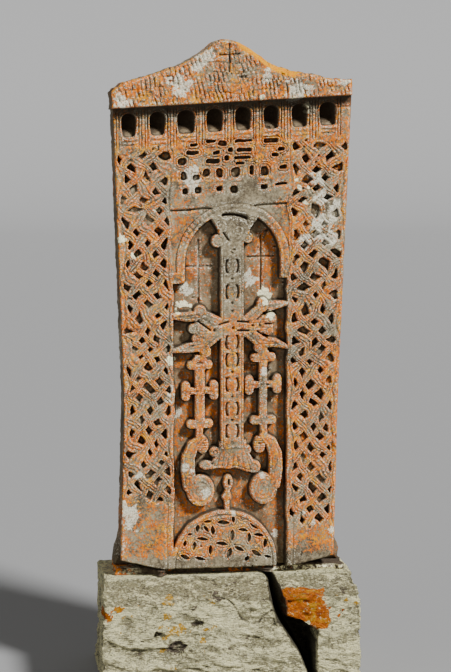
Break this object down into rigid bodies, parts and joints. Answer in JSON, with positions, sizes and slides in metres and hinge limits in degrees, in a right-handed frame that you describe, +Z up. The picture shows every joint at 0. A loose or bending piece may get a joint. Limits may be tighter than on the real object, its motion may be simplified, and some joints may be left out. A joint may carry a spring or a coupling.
{
  "type": "khachkar",
  "caption": "Carved stone memorial slab with a gabled cornice, cross and plaited borders, bedded on a rough stone base.",
  "frame": {"origin": "on the ground under the middle of the whole object's bounding box", "axes": "+Z is up, the carved face looks along -Y, +X is to the right of someone who faces the carving"},
  "size_m": [0.9356, 0.6166, 2.2824],
  "materials": {
    "weathered_stone": "hand-carved tuff, weathered, grown over with orange and grey lichen",
    "mortar": "dark crumbly lime mortar",
    "lichened_rock": "rough field stone under pale cream lichen"
  },
  "bodies": {
    "root": {"carved_slab": "weathered_stone", "mortar_bed": "mortar", "base_boulder": "lichened_rock", "base_block": "lichened_rock"}
  },
  "joints": []
}
